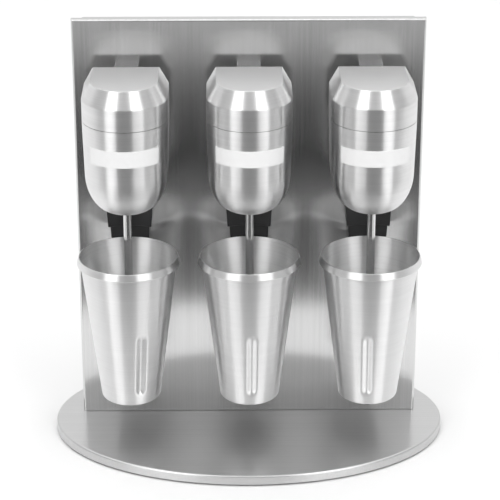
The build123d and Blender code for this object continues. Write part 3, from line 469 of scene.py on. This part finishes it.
def thicken(piece, wall, sharp=32):
    shell = piece.modifiers.new("wall", "SOLIDIFY")
    shell.thickness = wall
    shell.offset = -1
    applyModifiers(piece)
    piece.data.set_sharp_from_angle(angle=radians(sharp))


def evenNormals(piece):
    # large flat faces keep their own direction right up to their rounded edges
    weighted = piece.modifiers.new("evenNormals", "WEIGHTED_NORMAL")
    weighted.keep_sharp = True
    weighted.weight = 100
    applyModifiers(piece)


def placePiece(bm, name, material, body, nodes, sharp=32, wall=0):
    piece = makeObject(bm, name, material, sharp)
    if wall:
        thicken(piece, wall, sharp)
    evenNormals(piece)
    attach(piece, body)
    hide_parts(*nodes)
    return piece


# heads
headShape = {
    "shoulderIn": 8.9 * mm,
    "shoulderDown": 15.8 * mm,
    "taperDown": 42.0 * mm,      # top to where the sides start to draw in
    "lowRadius": 39.3 * mm,
    "roundHeight": 38.2 * mm,
    "flatRadius": 13.5 * mm,
    "wall": 1.6 * mm,
    "seamGap": 0.5 * mm,
    "lipGap": 0.15 * mm,
    "lipWall": 1.0 * mm,
    "lipHeight": 4.0 * mm,
    "backEdge": 0.8 * mm,
    "topRound": 0.7 * mm,
    "shoulderRound": 0.5 * mm,
    "taperRound": 3.0 * mm,
    "steps": 64,
    "roundSteps": 16,
}


def headForm(axis, low, top, radius, backY, inset, v):
    bm = bmesh.new()
    roundZ = low + v["roundHeight"]
    points = [(0, low)]
    for i in range(v["roundSteps"] + 1):
        a = i / v["roundSteps"] * pi / 2
        reach = v["lowRadius"] - v["flatRadius"]
        points.append((v["flatRadius"] + reach * sin(a), roundZ - v["roundHeight"] * cos(a)))
    points.append((radius, top - v["taperDown"]))
    points.append((radius, top - v["shoulderDown"]))
    points.append((radius - v["shoulderIn"], top))
    points.append((0, top))
    wire = drawWire(bm, [(axis.x + max(r - inset, 0), axis.y, z) for r, z in points])
    if inset == 0:
        roundCorner(bm, wire[-3], v["topRound"])
        roundCorner(bm, wire[-2], v["shoulderRound"])
        roundCorner(bm, wire[-4], v["taperRound"])
    bmesh.ops.spin(
        bm, geom=bm.verts[:] + bm.edges[:], cent=(axis.x, axis.y, 0), axis=(0, 0, -1), angle=pi,
        steps=v["steps"],
    )
    bmesh.ops.remove_doubles(bm, verts=bm.verts, dist=mergeGap)
    bmesh.ops.dissolve_degenerate(bm, edges=bm.edges, dist=mergeGap)
    rim = [e for e in bm.edges if len(e.link_faces) == 1]
    grown = bmesh.ops.extrude_edge_only(bm, edges=rim)["geom"]
    bmesh.ops.translate(bm, vec=(0, backY - axis.y - inset, 0), verts=newVerts(grown))
    backEdges = [g for g in grown if isinstance(g, bmesh.types.BMEdge) and len(g.link_faces) == 1]
    back = bmesh.ops.contextual_create(bm, geom=backEdges)["faces"]
    outer = list(back[0].verts)
    bmesh.ops.inset_region(bm, faces=back, thickness=v["backEdge"], use_even_offset=True)
    bmesh.ops.translate(bm, vec=(0, -v["backEdge"], 0), verts=outer)
    bmesh.ops.recalc_face_normals(bm, faces=bm.faces)
    return bm


def keepBand(bm, low, high):
    for height, inner in ((low, True), (high, False)):
        if height is not None:
            bmesh.ops.bisect_plane(
                bm, geom=bm.verts[:] + bm.edges[:] + bm.faces[:], plane_co=(0, 0, height),
                plane_no=(0, 0, 1), clear_inner=inner, clear_outer=not inner,
            )


def makeHead(side, finish, topFinish, v):
    spindleLow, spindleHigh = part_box(f"spindle_{side}")
    axis = (spindleLow + spindleHigh) / 2
    capLow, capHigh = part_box(f"head_cap_{side}")
    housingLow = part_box(f"head_housing_{side}")[0]
    low, top, backY = housingLow.z, capHigh.z, capHigh.y
    radius = capHigh.x - axis.x
    seam = capLow.z - v["seamGap"] / 2
    cap = headForm(axis, low, top, radius, backY, 0, v)
    keepBand(cap, seam + v["seamGap"] / 2, None)
    piece = placePiece(
        cap, f"headCap_{side}", finish, "stand", [f"head_cap_{side}"], wall=v["wall"],
    )
    piece.data.materials.append(topFinish)
    for face in piece.data.polygons:
        if face.normal.z > flatUp:
            face.material_index = 1
    housing = headForm(axis, low, top, radius, backY, 0, v)
    keepBand(housing, None, seam - v["seamGap"] / 2)
    placePiece(
        housing, f"headHousing_{side}", finish, "stand", [f"head_housing_{side}"],
        wall=v["wall"],
    )
    lip = headForm(axis, low, top, radius, backY, v["wall"] + v["lipGap"], v)
    keepBand(lip, seam - v["lipHeight"], seam + v["lipHeight"])
    placePiece(
        lip, f"headLip_{side}", finish, "stand", [f"head_housing_{side}"], wall=v["lipWall"],
    )


# neck
neckShape = {"sideRound": 1.6 * mm, "sideSteps": 5}


def makeNeck(side, finish, v):
    low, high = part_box(f"head_neck_{side}")
    bm = bmesh.new()
    bmesh.ops.create_cube(bm, size=1)
    bmesh.ops.scale(bm, vec=high - low, verts=bm.verts)
    bmesh.ops.translate(bm, vec=(low + high) / 2, verts=bm.verts)
    along = [e for e in bm.edges if abs(e.verts[0].co.y - e.verts[1].co.y) > 2 * mm]
    roundEdges(bm, along, v["sideRound"], v["sideSteps"])
    placePiece(bm, f"neck_{side}", finish, "stand", [f"head_neck_{side}"])


# labels
labelShape = {"halfAngle": 52.0, "thick": 0.4 * mm, "steps": 48}


def makeLabels(finish, v):
    low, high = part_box("head_labels")
    bm = bmesh.new()
    for side in sides:
        spindleLow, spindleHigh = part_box(f"spindle_{side}")
        axis = (spindleLow + spindleHigh) / 2
        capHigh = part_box(f"head_cap_{side}")[1]
        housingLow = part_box(f"head_housing_{side}")[0]
        radius = capHigh.x - axis.x
        taperTop = capHigh.z - headShape["taperDown"]
        taperLow = housingLow.z + headShape["roundHeight"]
        drawIn = (radius - headShape["lowRadius"]) / (taperTop - taperLow)
        inLow = radius - (taperTop - low.z) * drawIn
        inHigh = radius - (taperTop - high.z) * drawIn
        start = radians(v["halfAngle"])
        verts = []
        thick = v["thick"]
        corners = ((inLow, low.z), (inLow + thick, low.z), (inHigh + thick, high.z), (inHigh, high.z))
        for r, z in corners:
            verts.append(bm.verts.new((axis.x + r * sin(start), axis.y - r * cos(start), z)))
        face = bm.faces.new(verts)
        bmesh.ops.spin(
            bm, geom=[face], cent=(axis.x, axis.y, 0), axis=(0, 0, -1), angle=2 * start, steps=v["steps"],
        )
    placePiece(bm, "frontLabels", finish, "stand", ["head_labels"], 40)


# cups
cupShape = {
    "floorRadius": 28.7 * mm,
    "mouthRadius": 46.5 * mm,
    "wall": 0.8 * mm,
    "corner": 4.0 * mm,
    "beadHeight": 7.5 * mm,
    "beadRound": 0.9 * mm,
    "beadSlope": 1.9 * mm,
    "lipFlare": 0.5 * mm,
    "beadFootRound": 0.3 * mm,
    "beadEdgeRound": 0.5 * mm,
    "lipRound": 0.25 * mm,
    "cornerCut": 0.8,            # a corner's cut as a share of its radius
    "steps": 240,
    "rows": 70,
    "fluteLow": 11.0 * mm,
    "fluteLength": 69.0 * mm,
    "fluteHalf": 6.3 * mm,
    "fluteDepth": 2.5 * mm,
    "fluteTurn": {"left": 20.0, "middle": 3.0, "right": -5.0},
}


def fluteDepth(across, height, v):
    half = v["fluteHalf"]
    beyond = max(v["fluteLow"] + half - height, height - v["fluteLow"] - v["fluteLength"] + half, 0)
    away = min(sqrt(across ** 2 + beyond ** 2) / half, 1)
    return v["fluteDepth"] * (0.5 + 0.5 * cos(pi * away))


def makeCup(side, finish, insidePaintedLight, v):
    low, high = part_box(f"cup_{side}")
    centre = (low + high) / 2
    rimRadius = (high.x - low.x) / 2
    beadLow = high.z - v["beadHeight"]
    lean = (v["mouthRadius"] - v["floorRadius"]) / (beadLow - low.z)
    lipRadius = v["floorRadius"] + lean * (high.z - low.z) - v["wall"] + v["lipFlare"]
    bm = bmesh.new()
    outline = [
        (0, low.z), (v["floorRadius"], low.z), (v["mouthRadius"], beadLow),
        (rimRadius - v["beadRound"], beadLow), (rimRadius, beadLow + v["beadRound"]),
        (rimRadius - v["beadSlope"], high.z), (lipRadius, high.z),
        (v["floorRadius"] - v["wall"], low.z + v["wall"]), (0, low.z + v["wall"]),
    ]
    wire = drawWire(bm, [(centre.x + r, centre.y, z) for r, z in outline])
    roundCorner(bm, wire[1], v["corner"] * v["cornerCut"], 6)
    roundCorner(bm, wire[3], v["beadFootRound"], 3)
    roundCorner(bm, wire[4], v["beadEdgeRound"], 4)
    roundCorner(bm, wire[5], v["beadEdgeRound"], 4)
    roundCorner(bm, wire[6], v["lipRound"], 3)
    roundCorner(bm, wire[7], (v["corner"] - v["wall"]) * v["cornerCut"], 6)
    longEdges = [e for e in bm.edges if abs(e.verts[0].co.z - e.verts[1].co.z) > 20 * mm]
    bmesh.ops.subdivide_edges(bm, edges=longEdges, cuts=v["rows"])
    floorEdges = [e for e in bm.edges if abs(e.verts[0].co.x - e.verts[1].co.x) > 10 * mm]
    bmesh.ops.subdivide_edges(bm, edges=floorEdges, cuts=6)
    spinWhole(bm, (centre.x, centre.y, 0), v["steps"])
    turns = [radians(v["fluteTurn"][side] + 120 * i) for i in range(3)]
    for vert in bm.verts:
        away = Vector((vert.co.x - centre.x, vert.co.y - centre.y, 0))
        height = vert.co.z - low.z
        if away.length < v["floorRadius"] * 0.8 or vert.co.z > beadLow:
            continue
        angle = atan2(away.x, -away.y)
        for turn in turns:
            offset = (angle - turn + pi) % (2 * pi) - pi
            vert.co -= away.normalized() * fluteDepth(abs(offset) * away.length, height, v)
    piece = placePiece(bm, f"cupShell_{side}", finish, f"cup_{side}", [f"cup_{side}"], 40)
    piece.data.materials.append(insidePaintedLight)
    # the inside walls and the inside floor take the lighter steel copy, which is painted light
    for face in piece.data.polygons:
        inward = (face.center - centre).dot(face.normal) < 0 and face.center.z > low.z + v["wall"] / 2
        level = face.normal.z > flatUp and face.center.z < high.z - v["beadHeight"]
        if inward or level:
            face.material_index = 1


# spindles and agitators
spindleShape = {"radius": 4.0 * mm, "tipRound": 0.6 * mm, "couplingLength": 12.0 * mm, "steps": 48}


def makeSpindle(side, finish, v):
    low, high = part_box(f"spindle_{side}")
    centre = (low + high) / 2
    couplingRadius = (high.x - low.x) / 2
    couplingLow = high.z - v["couplingLength"]
    bm = bmesh.new()
    outline = [
        (0, low.z), (v["radius"], low.z), (v["radius"], couplingLow), (couplingRadius, couplingLow),
        (couplingRadius, high.z), (0, high.z),
    ]
    wire = drawWire(bm, [(centre.x + r, centre.y, z) for r, z in outline])
    roundCorner(bm, wire[1], v["tipRound"])
    roundCorner(bm, wire[4], v["tipRound"])
    spinWhole(bm, (centre.x, centre.y, 0), v["steps"])
    placePiece(bm, f"spindleRod_{side}", finish, f"drive_{side}", [f"spindle_{side}"])


agitatorShape = {
    "lobes": 6, "scallop": 4.0 * mm, "plate": 3.0 * mm, "plateRound": 0.4 * mm, "hubRadius": 6.0 * mm,
    "hubRound": 0.6 * mm, "steps": 144,
}


def makeAgitator(side, finish, v):
    low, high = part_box(f"agitator_{side}")
    centre = (low + high) / 2
    radius = (high.x - low.x) / 2
    bm = bmesh.new()
    bmesh.ops.create_circle(bm, cap_ends=True, segments=v["steps"], radius=radius)
    for vert in bm.verts:
        angle = atan2(vert.co.y, vert.co.x)
        nearest = abs((angle * v["lobes"] / (2 * pi) + 0.5) % 1 - 0.5) * 2 * pi / v["lobes"]
        across = radius * sin(nearest)
        if across < v["scallop"]:
            reach = radius * cos(nearest) - sqrt(max(v["scallop"] ** 2 - across ** 2, 0))
            vert.co *= min(1, sqrt(reach ** 2 + across ** 2) / radius)
    bmesh.ops.translate(bm, vec=(centre.x, centre.y, low.z), verts=bm.verts)
    grown = bmesh.ops.extrude_face_region(bm, geom=bm.faces[:])["geom"]
    bmesh.ops.translate(bm, vec=(0, 0, v["plate"]), verts=newVerts(grown))
    rims = [e for e in bm.edges if abs(e.verts[0].co.z - e.verts[1].co.z) < mergeGap]
    roundEdges(bm, rims, v["plateRound"], 2)
    hub = bmesh.ops.create_cone(
        bm, cap_ends=True, segments=48, radius1=v["hubRadius"], radius2=v["hubRadius"], depth=high.z - low.z,
    )["verts"]
    bmesh.ops.translate(bm, vec=centre, verts=hub)
    top = [e for e in bm.edges if all(abs(p.co.z - high.z) < mergeGap for p in e.verts)]
    roundEdges(bm, top, v["hubRound"], 3)
    placePiece(bm, f"agitatorDisc_{side}", finish, f"drive_{side}", [f"agitator_{side}"])


# holders and sliders
def stackUp(centre, backY, levels, arcSteps):
    # grows a block level by level; a level is its height, its width and the front hollow's radius
    bm = bmesh.new()
    ring = []
    lowest = levels[0]
    for i in range(arcSteps + 1):
        ring.append(bm.verts.new((0, 0, 0)))
    corners = [bm.verts.new((0, 0, 0)), bm.verts.new((0, 0, 0))]
    face = bm.faces.new(ring + corners)

    def shape(verts, level):
        height, width, radius = level
        halfTurn = asin(width / 2 / radius)
        for i, vert in enumerate(verts[:arcSteps + 1]):
            turn = halfTurn * (2 * i / arcSteps - 1)
            vert.co = (centre.x + radius * sin(turn), centre.y + radius * cos(turn), height)
        verts[arcSteps + 1].co = (centre.x + width / 2, backY, height)
        verts[arcSteps + 2].co = (centre.x - width / 2, backY, height)

    loop = ring + corners
    shape(loop, lowest)
    for level in levels[1:]:
        grown = bmesh.ops.extrude_face_region(bm, geom=[face])["geom"]
        face = next(g for g in grown if isinstance(g, bmesh.types.BMFace))
        pairs = {}
        for vert in loop:
            for edge in vert.link_edges:
                other = edge.other_vert(vert)
                if other in face.verts:
                    pairs[vert] = other
        loop = [pairs[vert] for vert in loop]
        shape(loop, level)
    bmesh.ops.recalc_face_normals(bm, faces=bm.faces)
    return bm


holderShape = {
    "lowWidth": 42.4 * mm, "topWidth": 45.3 * mm, "frontRadius": 45.0 * mm, "edgeRound": 1.2 * mm,
    "arcSteps": 24,
}
sliderShape = {
    "footWidth": 35.5 * mm, "width": 38.4 * mm, "frontRadius": 47.0 * mm, "grooveRadius": 50.4 * mm,
    "grooveGap": 0.4 * mm, "grooveAbove": 1.0 * mm, "step": 0.2 * mm, "toeGrow": 0.4 * mm,
    "grooveGrow": 1.5 * mm, "edgeRound": 0.5 * mm, "backGap": 0.3 * mm, "uprightLeast": 2.0 * mm,
    "arcSteps": 24,
}


def bentEdges(bm, backY, least):
    # edges that turn a corner and are taller than least, apart from those on the back
    return [
        e for e in bm.edges
        if e.calc_face_angle(0) > bendLimit
        and abs(e.verts[0].co.z - e.verts[1].co.z) >= least
        and not all(p.co.y > backY - mergeGap for p in e.verts)
    ]


def makeHolder(side, finish, v, w):
    spindleLow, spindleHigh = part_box(f"spindle_{side}")
    axis = (spindleLow + spindleHigh) / 2
    low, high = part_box(f"cup_holder_{side}")
    levels = [(low.z, v["lowWidth"], v["frontRadius"]), (high.z, v["topWidth"], v["frontRadius"])]
    bm = stackUp(axis, high.y, levels, v["arcSteps"])
    roundEdges(bm, bentEdges(bm, high.y, 0), v["edgeRound"], 4)
    placePiece(bm, f"holderBlock_{side}", finish, "stand", [f"cup_holder_{side}"])
    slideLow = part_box(f"cup_slider_{side}")[0]
    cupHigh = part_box(f"cup_{side}")[1]
    grooveLow = cupHigh.z - cupShape["beadHeight"] - w["grooveGap"]
    grooveHigh = cupHigh.z + w["grooveAbove"]
    backY = high.y - w["backGap"]
    foot = w["footWidth"]
    toe, groove = foot + w["toeGrow"], foot + w["grooveGrow"]
    levels = [
        (slideLow.z, foot, w["frontRadius"]), (grooveLow - w["step"], toe, w["frontRadius"]),
        (grooveLow, toe, w["grooveRadius"]), (grooveHigh, groove, w["grooveRadius"]),
        (grooveHigh + w["step"], groove, w["frontRadius"]), (low.z, w["width"], w["frontRadius"]),
    ]
    bm = stackUp(axis, backY, levels, w["arcSteps"])
    roundEdges(bm, bentEdges(bm, backY, w["uprightLeast"]), w["edgeRound"], 3)
    placePiece(bm, f"sliderHook_{side}", finish, f"slider_{side}", [f"cup_slider_{side}"])


# stand sheets
baseShape = {
    "edgeRound": 2.0 * mm, "sheet": 1.2 * mm, "steps": 256,
    "grainCentre": 50.0,     # metres; far off, so that the grain runs straight from side to side
}


def makeBase(finish, v):
    low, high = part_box("base_cover")
    bm = bmesh.new()
    bmesh.ops.create_circle(bm, cap_ends=True, cap_tris=False, segments=v["steps"], radius=0.5)
    bmesh.ops.scale(bm, vec=(high.x - low.x, high.y - low.y, 1), verts=bm.verts)
    middle = ((low.x + high.x) / 2, (low.y + high.y) / 2, high.z)
    bmesh.ops.translate(bm, vec=middle, verts=bm.verts)
    rim = bm.edges[:]
    grown = bmesh.ops.extrude_edge_only(bm, edges=rim)["geom"]
    bmesh.ops.translate(bm, vec=(0, 0, low.z - high.z), verts=newVerts(grown))
    roundEdges(bm, [e for e in rim if e.is_valid], v["edgeRound"], 6)
    piece = placePiece(bm, "basePlate", finish, "stand", ["base_cover"], 30, wall=v["sheet"])
    piece.data.use_auto_texspace = False
    piece.data.texspace_location = (0, v["grainCentre"], 0)
    piece.data.texspace_size = (1, 1, 1)


panelShape = {
    "foldRound": 2.5 * mm, "foldSteps": 6, "sheet": 1.2 * mm, "flange": 7.0 * mm, "footGap": 0.4 * mm,
}


def makePanel(finish, v):
    low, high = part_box("front_panel")
    high.y = low.y + v["flange"]
    low.z += v["footGap"]
    bm = bmesh.new()
    bmesh.ops.create_cube(bm, size=1)
    bmesh.ops.scale(bm, vec=high - low, verts=bm.verts)
    bmesh.ops.translate(bm, vec=(low + high) / 2, verts=bm.verts)
    openSides = [f for f in bm.faces if f.normal.y > 0.5 or f.normal.z < -0.5]
    bmesh.ops.delete(bm, geom=openSides, context="FACES_ONLY")
    front = [
        e for e in bm.edges
        if len(e.link_faces) == 2 and all(abs(p.co.y - low.y) < mergeGap for p in e.verts)
    ]
    roundEdges(bm, front, v["foldRound"], v["foldSteps"])
    placePiece(bm, "panelSheet", finish, "stand", ["front_panel"], 30, wall=v["sheet"])


makeCamera(cameraView)
makeWorld(stageLook)
makeStage(stageLook)
print("stage is set")

finishes = {name: steelFinish(name, look) for name, look in steelLooks.items()}
finishes.update({name: plasticFinish(name, look) for name, look in plasticLooks.items()})
print("finishes are mixed:", len(finishes))

nodeFinish = {
    "base_cover": "baseSteel", "ballast_plate": "zincPlate", "base_feet": "footRubber",
    "base_screws": "zincPlate", "foot_brackets": "zincPlate", "front_panel": "panelSteel",
    "rear_cover": "panelSteel", "cover_nuts": "zincPlate", "bracket_screws": "zincPlate",
    "cord_gland": "blackPlastic", "rocker_frame": "blackPlastic", "power_rocker": "rockerPlastic",
    "terminal_block": "terminalPlastic", "wiring_loom": "wireSleeve", "head_labels": "labelWhite",
    "spindle_bushes": "bronze", "motor_bearings": "zincPlate", "motor_brushes": "brushCarbon",
}
sideFinish = {
    "head_cap": "turnedSteel", "head_housing": "turnedSteel", "head_neck": "neckSteel",
    "motor_frame": "zincPlate", "motor_stator": "zincPlate", "motor_armature": "zincPlate",
    "motor_fan": "blackPlastic", "spindle": "polishedSteel", "agitator": "polishedSteel",
    "cup_holder": "blackPlastic", "cup_slider": "blackPlastic", "microswitch": "blackPlastic",
    "cup_rest": "neckSteel", "cup": "cupSteel",
}
for side in sides:
    nodeFinish.update({f"{name}_{side}": look for name, look in sideFinish.items()})
for name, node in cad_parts.items():
    node.data.materials.clear()
    node.data.materials.append(finishes[nodeFinish[name]])

for side in sides:
    makeHead(side, finishes["turnedSteel"], finishes["capTopSteel"], headShape)
    makeNeck(side, finishes["neckSteel"], neckShape)
    makeCup(side, finishes["cupSteel"], finishes["cupInsidePaintedLightSteel"], cupShape)
    makeSpindle(side, finishes["polishedSteel"], spindleShape)
    makeAgitator(side, finishes["polishedSteel"], agitatorShape)
    makeHolder(side, finishes["blackPlastic"], holderShape, sliderShape)
    print("drinks place built:", side)
makeLabels(finishes["labelWhite"], labelShape)
makeBase(finishes["baseSteel"], baseShape)
makePanel(finishes["panelSteel"], panelShape)
